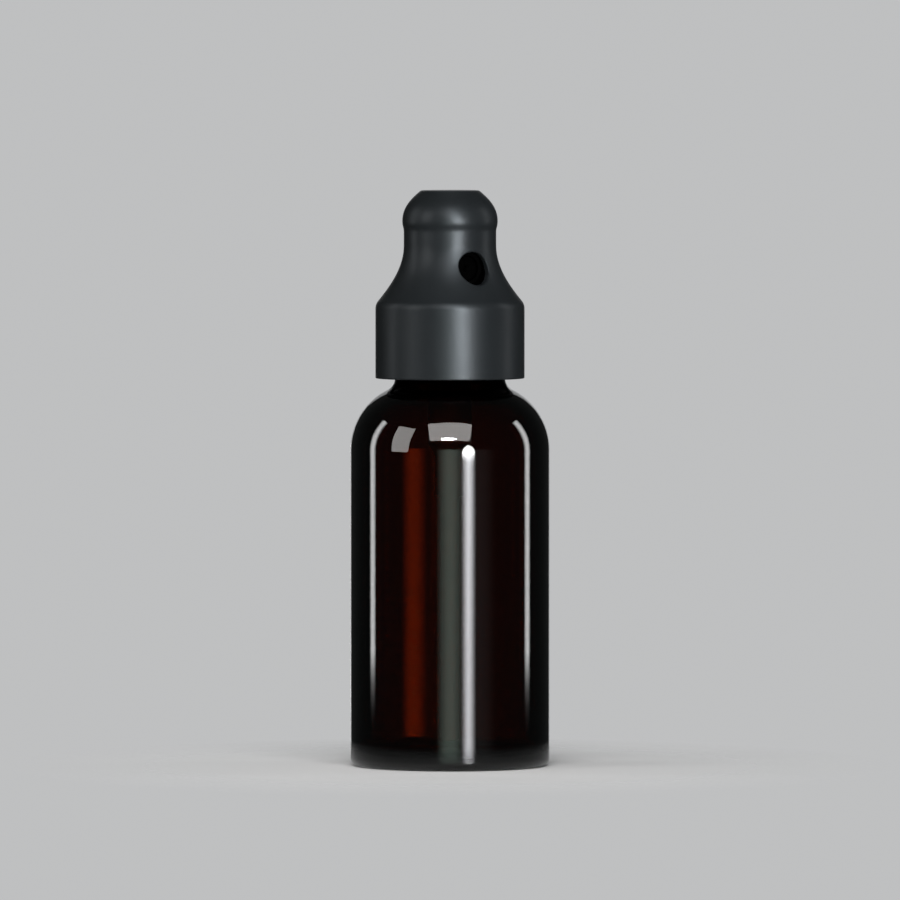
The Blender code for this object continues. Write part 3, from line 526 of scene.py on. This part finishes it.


# Head core. One black moulding inside the shell: a pillar with the socket for the stem, a boss that
# holds the orifice cup at the foot of the spray hole, and two fins that drive the closure. It
# shows only as the floor and wall of the spray hole. These are coloured blacker, and given less
# shine, than the black plastic itself: painted shade that keeps the hole dark.

HEAD_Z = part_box("actuator_core")[0].z
SHELL_WALL = 0.0012
HEAD_HEIGHT = 0.0163
TOP_FLAT_RADIUS = 0.0048
TOP_FLAT_ROUND = 0.0008
TOP_SLOPE = 40.0
DOME_RADIUS = 0.0079
DOME_HEIGHT = 0.0112
DOME_FOOT_HEIGHT = 0.0093
WAIST_RADIUS = 0.00765
WAIST_FOOT_HEIGHT = 0.0072
FLARE_ANGLE = 39.0
CROWN_PULL = 0.0020
DOME_PULL = 0.0022
TUCK_PULL = 0.0009
FLARE_PULL = 0.0035
SHELL_EDGE_ROUND = 0.0021
SHELL_EDGE_DROP = 0.0033
SKIRT_RADIUS = 0.01235
SKIRT_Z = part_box("actuator_shell")[0].z
FIT_GAP = 0.00015
NOZZLE_BEARING = 29.5
NOZZLE_Z = HEAD_Z + 0.00345
RECESS_RADIUS = 0.00275
RECESS_FLOOR = 0.0056
BOSS_WALL = 0.00075
BOSS_START = 0.0005
PILLAR_RADIUS = 0.0031
PILLAR_CORE_RADIUS = 0.0019
PILLAR_CORE_HEIGHT = 0.0069
SOCKET_RADIUS = 0.00175
SOCKET_DEPTH = 0.0032
RISER_RADIUS = 0.0006
FIN_THICKNESS = 0.0012
FIN_START = 0.0025
INSERT_RADIUS = 0.0020
INSERT_LENGTH = 0.0023
INSERT_WALL = 0.00065
INSERT_FACE = 0.0007
INSERT_FLOOR = 0.00285
POST_RADIUS = 0.00105
FEED_RADIUS = 0.00035
PILLAR_SIDES = 72
BOSS_SIDES = 96
ROOM_SIDES = 120
CORE_OUT_SIDES = 48
SOCKET_SIDES = 40
FEED_SIDES = 24
# Blacker than any black plastic: painted shade for the spray hole's floor, wall and cup.
BLACK_WITH_PAINTED_SHADE = (0.001, 0.001, 0.001)

NOZZLE_TURN = math.radians(NOZZLE_BEARING - 90)
NOZZLE_WAY = Vector((math.cos(NOZZLE_TURN), math.sin(NOZZLE_TURN), 0))
NOZZLE_PLACE = (
    Matrix.Translation((0, 0, NOZZLE_Z)) @ NOZZLE_WAY.to_track_quat("Z", "Y").to_matrix().to_4x4()
)


def sweep(start, start_pull, end, end_pull, steps):
    """Points on one smooth curve that leaves start along start_pull and arrives along end_pull."""
    start, end = Vector(start), Vector(end)
    leaving, arriving = start + Vector(start_pull), end - Vector(end_pull)
    points = interpolate_bezier(start, leaving, arriving, end, steps + 1)
    return [(point.x, point.y) for point in points]


def inward(outline, distance):
    """An outline moved into its material. Points that the move would turn back are left out."""
    points = [Vector(point) for point in outline]
    ways = [(after - before).normalized() for before, after in zip(points, points[1:])]
    moved = []
    for point, arriving, leaving in zip(points, ways[:1] + ways, ways + ways[-1:]):
        along = (arriving + leaving).normalized()
        place = point + Vector((along.y, -along.x)) * (distance / along.dot(leaving))
        if not moved or (place - moved[-1]).dot(along) > 0:
            moved.append(place)
    return [tuple(place) for place in moved]


def head_outline(detail, top_round=0):
    """The head's outside, from the top of its dome down to the rim of its skirt."""
    top, lean, slope = HEAD_Z + HEAD_HEIGHT, math.radians(FLARE_ANGLE), math.radians(TOP_SLOPE)
    dome, dome_foot = HEAD_Z + DOME_HEIGHT, HEAD_Z + DOME_FOOT_HEIGHT
    waist_foot = HEAD_Z + WAIST_FOOT_HEIGHT
    flat_end = [(TOP_FLAT_RADIUS, top)]
    if top_round:
        cut = TOP_FLAT_ROUND * math.tan(slope / 2)
        centre = (TOP_FLAT_RADIUS - cut, top - TOP_FLAT_ROUND)
        flat_end = arc(centre, TOP_FLAT_ROUND, 90, 90 - TOP_SLOPE, top_round)
    dome_side = sweep(
        flat_end[-1],
        (CROWN_PULL * math.cos(slope), -CROWN_PULL * math.sin(slope)),
        (DOME_RADIUS, dome),
        (0, -DOME_PULL),
        3 * detail,
    )
    tuck = sweep(
        (DOME_RADIUS, dome), (0, -TUCK_PULL), (WAIST_RADIUS, dome_foot), (0, -TUCK_PULL), 2 * detail
    )
    edge_centre = (SKIRT_RADIUS - SHELL_EDGE_ROUND, HEAD_Z - SHELL_EDGE_DROP)
    edge = arc(edge_centre, SHELL_EDGE_ROUND, FLARE_ANGLE, 0, 1 + detail)
    flare = sweep(
        (WAIST_RADIUS, waist_foot),
        (0, -FLARE_PULL),
        edge[0],
        (FLARE_PULL * math.sin(lean), -FLARE_PULL * math.cos(lean)),
        3 * detail,
    )
    waist = straight(tuck[-1], flare[0], detail)
    outline = [(0, top)] + flat_end + dome_side[1:] + tuck[1:] + waist + flare + edge[1:]
    return outline + [(SKIRT_RADIUS, SKIRT_Z)]


def rod(name, radius, start, end, sides):
    """A cylinder on +Z between two distances from the origin."""
    return turned(name, [(0, end), (radius, end), (radius, start), (0, start)], even_angles(sides))


def block(name, low, high, turn):
    """A box between two corners, turned about the bottle's axis."""
    shape = bmesh.new()
    bmesh.ops.create_cube(shape, size=1)
    size = [b - a for a, b in zip(low, high)]
    bmesh.ops.scale(shape, verts=shape.verts, vec=size)
    middle = [(a + b) / 2 for a, b in zip(low, high)]
    bmesh.ops.translate(shape, verts=shape.verts, vec=middle)
    shape.transform(Matrix.Rotation(turn, 4, "Z"))
    return made(name, shape)


def laid(piece):
    """Lay a piece that was turned upright along the spray hole."""
    piece.data.transform(NOZZLE_PLACE)
    return piece


def combined(piece, steps, sharp=35.0):
    """Join, cut or keep by each shape in turn, and use the shapes up."""
    for operation, other in steps:
        step = piece.modifiers.new(other.name, "BOOLEAN")
        step.operation, step.object = operation, other
    bpy.context.view_layer.update()
    graph = bpy.context.evaluated_depsgraph_get()
    mesh = bpy.data.meshes.new_from_object(piece.evaluated_get(graph))
    piece.modifiers.clear()
    piece.data = mesh
    for _, other in steps:
        bpy.data.objects.remove(other, do_unlink=True)
    mesh.shade_smooth()
    mesh.set_sharp_from_angle(angle=math.radians(sharp))
    return piece


def head_core():
    """The core, joined from its pillar, boss and fins, trimmed to the shell's room and bored."""
    top, foot = HEAD_Z + HEAD_HEIGHT, HEAD_Z - BOSS_WALL
    outline = [(0, top), (PILLAR_RADIUS, top), (PILLAR_RADIUS, foot), (0, foot)]
    core = turned("head_core", outline, even_angles(PILLAR_SIDES))
    boss = laid(rod("boss", RECESS_RADIUS + BOSS_WALL, BOSS_START, SKIRT_RADIUS, BOSS_SIDES))
    steps = [("UNION", boss)]
    low, high = (FIN_START, -FIN_THICKNESS / 2, foot), (SKIRT_RADIUS, FIN_THICKNESS / 2, top)
    for side in (-1, 1):
        fin = block(f"fin_{side}", low, high, NOZZLE_TURN + side * math.pi / 2)
        steps.append(("UNION", fin))
    skin = inward(head_outline(5), SHELL_WALL + FIT_GAP)
    room = [point for point in skin if point[1] > HEAD_Z + FIT_GAP]
    room += [(room[-1][0], HEAD_Z), (0, HEAD_Z)]
    steps.append(("INTERSECT", turned("shell_room", room, even_angles(ROOM_SIDES))))
    socket_top, below = HEAD_Z + SOCKET_DEPTH, HEAD_Z - SOCKET_DEPTH
    riser_top = NOZZLE_Z + INSERT_RADIUS + FIT_GAP
    stem_bore = [(0, riser_top), (RISER_RADIUS, riser_top), (RISER_RADIUS, socket_top)]
    stem_bore += [(SOCKET_RADIUS, socket_top), (SOCKET_RADIUS, below), (0, below)]
    bore = INSERT_RADIUS + FIT_GAP
    post_end = INSERT_FLOOR + INSERT_LENGTH - INSERT_FACE
    mouth = SKIRT_RADIUS + SHELL_WALL
    nozzle = [(0, mouth), (RECESS_RADIUS, mouth), (RECESS_RADIUS, RECESS_FLOOR), (bore, RECESS_FLOOR)]
    nozzle += [(bore, INSERT_FLOOR), (POST_RADIUS, INSERT_FLOOR), (POST_RADIUS, post_end), (0, post_end)]
    feed = rod("feed", FEED_RADIUS, 0, INSERT_FLOOR + FIT_GAP, FEED_SIDES)
    feed.data.transform(Matrix.Translation((0, INSERT_RADIUS - FEED_RADIUS, 0)))
    core_out_foot = HEAD_Z + PILLAR_CORE_HEIGHT
    for cutter in (
        turned("stem_bore", stem_bore, even_angles(SOCKET_SIDES)),
        laid(turned("nozzle_bore", nozzle, even_angles(BOSS_SIDES))),
        laid(feed),
        rod("core_out", PILLAR_CORE_RADIUS, core_out_foot, 2 * top, CORE_OUT_SIDES),
    ):
        steps.append(("DIFFERENCE", cutter))
    return combined(core, steps)


# Less shine than the plastic has, with the deeper black: painted shade in the spray hole.
shine_cut_for_painted_shade = {"Specular IOR Level": 0.02}
core_black = moulded("black_core", BLACK_WITH_PAINTED_SHADE, 0.6, grain=8000.0, depth=0.000008, values=shine_cut_for_painted_shade)
core = head_core()
dress(core, core_black, "actuator", "black_plastic", "actuator_core")


# Orifice cup. A tiny black acetal cup pressed over the core's post, whose flared mouth forms the
# spray. It sits deep in the spray hole, where hardly any light reaches its face. It is also coloured
# blacker, and given less shine, than the acetal itself: painted shade.

ORIFICE_RADIUS = 0.0002
ORIFICE_FLARE = 0.0006
CUP_EDGE = 0.00012
CUP_SIDES = 72

back = INSERT_FLOOR + FIT_GAP
front = back + INSERT_LENGTH
face = front - INSERT_FACE
cup_inner = INSERT_RADIUS - INSERT_WALL
cup = [(ORIFICE_FLARE, front)]
cup += arc((INSERT_RADIUS - CUP_EDGE, front - CUP_EDGE), CUP_EDGE, 90, 0, 4)
cup += [(INSERT_RADIUS, back), (cup_inner, back), (cup_inner, face), (ORIFICE_RADIUS, face)]
cup += [(ORIFICE_RADIUS, front - INSERT_FACE / 2)]
orifice_cup = laid(turned("orifice_cup", cup, even_angles(CUP_SIDES)))
acetal = moulded("black_acetal", BLACK_WITH_PAINTED_SHADE, 0.45, grain=6000.0, depth=0.000002, values=shine_cut_for_painted_shade)
dress(orifice_cup, acetal, "actuator", "black_plastic", "nozzle_insert")


# Head shell. One moulding in satin charcoal with fine metal flake: finger dome, waist with the spray
# hole, flared shoulder and a long skirt. It is pressed over the core and slides over the closure.
# The raised words round the skirt are left off, and the skirt there has the same finish.

SHELL_SIDES = 200
HOLE_SIDES = 120
SKIRT_STEPS = 18
RIM_ROUND = 0.00018
SKIRT_LIP = 0.00018
RIM_REACH = 0.0010


def shell_outline():
    """The shell's wall: its outside, the small rounds of its rim, and its inside."""
    outside = head_outline(9, 5)[:-1]
    rim = arc((SKIRT_RADIUS - SKIRT_LIP, SKIRT_Z + SKIRT_LIP), SKIRT_LIP, 0, -90, 4)
    bore = SKIRT_RADIUS - SHELL_WALL
    inner_rim = arc((bore + SKIRT_LIP, SKIRT_Z + SKIRT_LIP), SKIRT_LIP, -90, -180, 4)
    inside = inward(head_outline(3), SHELL_WALL)[::-1][1:]
    skirt = eased(outside[-1], rim[0], SKIRT_STEPS)
    return outside + skirt + rim + inner_rim + inside


def round_rim(piece):
    """Make the mesh finer round the spray hole, and roll the shell's outside over into it."""
    outward = NOZZLE_PLACE.inverted()

    def from_hole(point):
        local = outward @ point
        return math.hypot(local.x, local.y) - RECESS_RADIUS, local.z

    shape = bmesh.new()
    shape.from_mesh(piece.data)
    for reach in (RIM_REACH, RIM_REACH / 2):
        edges = []
        for edge in shape.edges:
            away, along = from_hole((edge.verts[0].co + edge.verts[1].co) / 2)
            if -reach < away < reach and along > RECESS_FLOOR:
                edges.append(edge)
        bmesh.ops.subdivide_edges(shape, edges=edges, cuts=1, use_grid_fill=True)
    shape.normal_update()
    for vert in shape.verts:
        away, along = from_hole(vert.co)
        if along > RECESS_FLOOR and away < RIM_ROUND and vert.normal.dot(NOZZLE_WAY) > 0:
            reach = min(1.0, 1 - away / RIM_ROUND)
            vert.co -= NOZZLE_WAY * RIM_ROUND * (1 - math.sqrt(max(0.0, 1 - reach**2)))
    shape.to_mesh(piece.data)
    shape.free()


head_shell = turned("head_shell", shell_outline(), even_angles(SHELL_SIDES))
round_rim(head_shell)
hole_foot = RECESS_FLOOR - SHELL_WALL
spray_hole = rod("spray_hole", RECESS_RADIUS, hole_foot, 2 * SKIRT_RADIUS, HOLE_SIDES)
combined(head_shell, [("DIFFERENCE", laid(spray_hole))], 40.0)

CHARCOAL = (0.0145, 0.0165, 0.018)
FLAKE = (0.026, 0.029, 0.032)
SHEEN = (0.88, 0.95, 1.0, 1)
FLAKE_SCALE = 9500.0
FLAKE_REACH = 0.42
FLAKE_EDGE = 1.6
SATIN_SCALE = 260.0
SATIN_SHINE = 0.10
SKIN_SCALE = 7500.0
SKIN_SHINE = 0.06
SKIN_DEPTH = 0.000003
SKIN_SHARE = 0.7
SHELL_ROUGHNESS = 0.385

charcoal = Finish("satin_charcoal", {"IOR": 1.50, "Specular Tint": SHEEN})
flake = charcoal.add("TexVoronoi", None, {"Vector": charcoal.place(), "Scale": FLAKE_SCALE})
satin = charcoal.noise(SATIN_SCALE, 4.0)
skin = charcoal.noise(SKIN_SCALE, 2.0)
sparkle = ((FLAKE_REACH - flake).above(0) * FLAKE_EDGE).below(1.0)
shell_shine = (satin - 0.5) * SATIN_SHINE + (skin - 0.5) * SKIN_SHINE + SHELL_ROUGHNESS
shell_colour = charcoal.tint(sparkle, CHARCOAL, FLAKE)
charcoal.fill(charcoal.shader, {"Base Color": shell_colour, "Roughness": shell_shine})
charcoal.relief(skin * SKIN_SHARE + satin * (1 - SKIN_SHARE), SKIN_DEPTH)
dress(head_shell, charcoal, "actuator", "charcoal_shell", "actuator_shell")


# Studio. A pale matte floor that fades into a pale room, tall softboxes at both sides and by the
# camera, and two window-shaped ones above, so the glass shows them as the photograph does. A black
# drape that the camera doesn't see keeps the glass dark between them.

ROOM = (0.52, 0.525, 0.53)
FLOOR = (0.60, 0.605, 0.61)
FLOOR_RADIUS = 0.60
FADE_START = 0.019
FADE_WIDTH = 0.055
FADE_CURVE = 0.8
DRAPE_HALF_WIDTH = 165
DRAPE_LOWEST = -50
DRAPE_DISTANCE = 2.7
DRAPE_TURN_STEP = 5
DRAPE_RISE_STEP = 10
DRAPE_BLACK = (0.004, 0.004, 0.004, 1)
DRAPE_GLOW = (0.9, 1.0, 1.0, 1)
DRAPE_GLOW_STRENGTH = 0.022
EYE_LEVEL = 0.05236
CAMERA_DISTANCE = 1.83
CAMERA_RISE = 2.1
CAMERA_LENS = 441.8
SENSOR_WIDTH = 36.0
VIEW_END = 20.0
DOME_EDGE = 8

floor = turned("studio_floor", [(0, 0.0), (FLOOR_RADIUS, 0.0)], even_angles(96))
floor_finish = Finish(
    "studio_floor",
    {"Roughness": 0.9, "Specular IOR Level": 0.0, "Base Color": (*FLOOR, 1)},
)
from_bottle = floor_finish.add(
    "VectorMath", {"operation": "LENGTH"}, {0: floor_finish.place()}, output="Value"
)
fade = ((from_bottle - FADE_START) / FADE_WIDTH).above(0).below(1) ** FADE_CURVE
clear = floor_finish.add("BsdfTransparent")
shader = Wire(floor_finish, floor_finish.shader.outputs[0])
blend = floor_finish.add("MixShader", None, {0: fade, 1: shader, 2: clear})
floor_finish.fill(floor_finish.tree.nodes["Material Output"], {"Surface": blend})
floor_finish.put_on(floor)

room = bpy.data.worlds.new("pale_room")
bpy.context.scene.world = room
room.use_nodes = True
backdrop = room.node_tree.nodes["Background"]
backdrop.inputs["Color"].default_value = (*ROOM, 1)
backdrop.inputs["Strength"].default_value = 1.0


def way_to(bearing, rise):
    """The direction to a lamp or camera: bearing from the front towards +X, and rise, in degrees."""
    b, e = math.radians(bearing), math.radians(rise)
    return Vector((math.sin(b) * math.cos(e), -math.cos(b) * math.cos(e), math.sin(e)))


def dark_drape():
    """A black drape round the front, sides and top of the set, unseen by the camera."""
    shape = bmesh.new()
    rows = []
    bearings = range(-DRAPE_HALF_WIDTH, DRAPE_HALF_WIDTH + 1, DRAPE_TURN_STEP)
    for rise in range(DRAPE_LOWEST, 91, DRAPE_RISE_STEP):
        places = [way_to(bearing, rise) * DRAPE_DISTANCE for bearing in bearings]
        rows.append([shape.verts.new(place) for place in places])
    for lower, upper in zip(rows, rows[1:]):
        for i in range(len(lower) - 1):
            shape.faces.new((lower[i], lower[i + 1], upper[i + 1], upper[i]))
    drape = made("dark_drape", shape)
    drape.visible_camera = False
    return drape


def lit(name, pieces, state):
    """The pieces that a lamp lights alone, or leaves out."""
    group = bpy.data.collections.new(name)
    for piece in pieces:
        group.objects.link(piece)
    for member in group.collection_objects:
        member.light_linking.link_state = state
    return group


def softbox(
    name, place, size, glow, colour=(1, 1, 1), soft=0.0, foot=(0.02, 1), on_head=1.0, shape="RECTANGLE"
):
    """A lamp at a bearing, rise and distance, as wide and high as angles seen from the bottle.

    If soft, it fades across its width and over its foot: a share of its height, and how steeply.
    on_head is the share of its light that reaches the head, as with a scrim in front of it.
    """
    bearing, rise, distance = place
    if on_head != 1.0:
        scrim = softbox(name + "_on_head", place, size, glow * on_head, colour, soft, foot, 1.0, shape)
        scrim.light_linking.receiver_collection = head_only
    lamp = bpy.data.lights.new(name, "AREA")
    lamp.shape = "RECTANGLE" if shape == "DOME" else shape
    lamp.size, lamp.size_y = (2 * distance * math.tan(math.radians(angle / 2)) for angle in size)
    lamp.energy = glow * math.pi * lamp.size * lamp.size_y
    lamp.color = colour
    if soft or shape == "DOME":
        face = Finish(name, {}, lamp)
        spot = {0: face.add("NewGeometry", output="Parametric")}
        across = face.add("SeparateXYZ", None, spot, "X")
        up = face.add("SeparateXYZ", None, spot, "Y")
        crest = across * (1 - across) * 4
        if shape == "DOME":
            strength = ((crest - up * up) * DOME_EDGE).above(0).below(1)
        else:
            strength = crest.above(0) ** soft
        foot_fade = (up / foot[0]).below(1) ** foot[1]
        face.fill(face.tree.nodes["Emission"], {"Strength": strength * foot_fade})
    holder = bpy.data.objects.new(name, lamp)
    bpy.context.scene.collection.objects.link(holder)
    way = way_to(bearing, rise)
    holder.location = Vector((0, 0, EYE_LEVEL)) + way * distance
    holder.rotation_euler = way.to_track_quat("Z", "Y").to_euler()
    holder.visible_camera = False
    if on_head != 1.0:
        holder.light_linking.receiver_collection = all_but_head
    return holder


head = (head_shell, core, orifice_cup)
head_only = lit("head_only", head, "INCLUDE")
shell_only = lit("shell_only", (head_shell,), "INCLUDE")
all_but_head = lit("all_but_head", head, "EXCLUDE")
all_but_floor = lit("all_but_floor", (floor,), "EXCLUDE")

drape_values = {
    "Base Color": DRAPE_BLACK,
    "Roughness": 1.0,
    "Emission Color": DRAPE_GLOW,
    "Emission Strength": DRAPE_GLOW_STRENGTH,
}
Finish("drape_black", drape_values).put_on(dark_drape())

WARM, COOL = (1.0, 0.98, 0.96), (0.93, 0.97, 1.0)
BLUISH, GREENISH = (0.95, 0.96, 1.0), (0.78, 1.0, 0.86)
for side, name in ((-1, "left_strip"), (1, "right_strip")):
    place, size = (100.8 * side, 14.08, 1.20), (12.4, 39.95)
    softbox(name, place, size, 7.7, soft=1.5, foot=(0.0339, 5), on_head=0.3)
softbox(
    "front_strip", (21.2, -8.5, 0.90), (21, 25), 20.5, BLUISH, soft=3.5, foot=(1.0, 1), on_head=0.45
)
softbox("front_halo", (31.0, -8.0, 0.90), (50, 24), 0.13, soft=2.0)
softbox("front_panel", (0.4, -2.5, 2.20), (34, 14), 1.40, GREENISH, soft=2.0)
softbox("window_above", (0.0, 35.5, 1.00), (46, 32), 5.6, WARM, on_head=0.13)
softbox("window_left", (-59.9, 18.0, 0.90), (22.5, 37), 4.8, WARM, on_head=0.33)
softbox("lamp_above", (-1.6, 22.1, 0.98), (18.5, 6), 29.0, on_head=0.1, shape="ELLIPSE")
softbox(
    "lamp_right", (21.2, 4.67, 0.88), (14.8, 13.7), 25.0, foot=(0.01, 1), on_head=0.9, shape="DOME"
)
glow = softbox("glow_behind", (183.35, -6.0, 0.60), (3.2, 8.2), 6.4, WARM, soft=2.0)
glow.light_linking.receiver_collection = all_but_floor
for name, place, size, strength in (
    ("head_key", (14.5, 16.0, 0.95), (13, 38), 16.0),
    ("head_top", (4.0, 42.0, 0.95), (18, 26), 3.2),
):
    key = softbox(name, place, size, strength, COOL, soft=1.5)
    key.light_linking.receiver_collection = shell_only

camera_data = bpy.data.cameras.new("camera")
camera_data.lens = CAMERA_LENS
camera_data.sensor_width = SENSOR_WIDTH
camera_data.clip_end = VIEW_END
camera = bpy.data.objects.new("camera", camera_data)
bpy.context.scene.collection.objects.link(camera)
camera.location = Vector((0, 0, EYE_LEVEL)) + way_to(0, CAMERA_RISE) * CAMERA_DISTANCE
camera.rotation_euler = way_to(0, CAMERA_RISE).to_track_quat("Z", "Y").to_euler()
bpy.context.scene.camera = camera
bpy.context.scene.view_settings.view_transform = "Standard"
